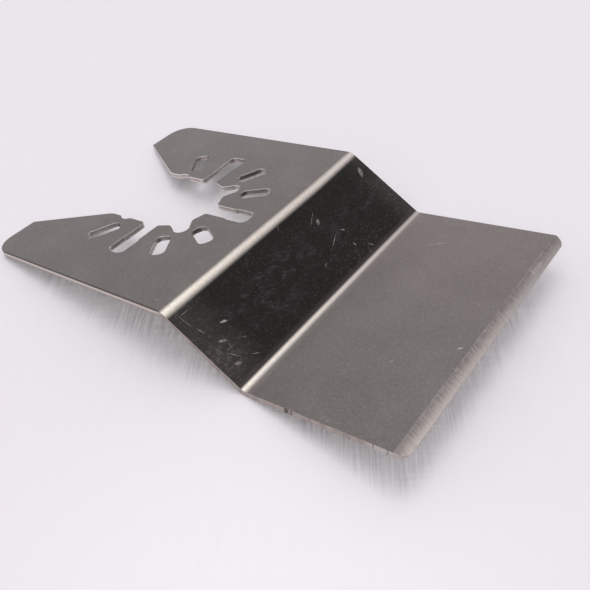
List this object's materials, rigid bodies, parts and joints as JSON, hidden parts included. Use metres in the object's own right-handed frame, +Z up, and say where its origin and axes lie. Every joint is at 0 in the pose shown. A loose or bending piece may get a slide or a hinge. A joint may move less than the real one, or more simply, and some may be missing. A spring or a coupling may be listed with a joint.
{
  "type": "oscillating tool scraper blade",
  "caption": "Rigid scraper blade for an oscillating multi-tool: bent steel sheet with an open slotted mounting fork and a bevelled cutting edge.",
  "frame": {"origin": "on the table under the middle of the blade, with the blade at rest on its heel and its rear prong tips", "axes": "+Z up, +X from the prongs to the cutting edge, +Y to the left of somebody looking along +X"},
  "size_m": [0.0886, 0.052, 0.009],
  "materials": {
    "stainless_sheet": "satin, near-mirror on the sloping web"
  },
  "bodies": {
    "root": {"scraper_blade": "stainless_sheet"}
  },
  "joints": []
}
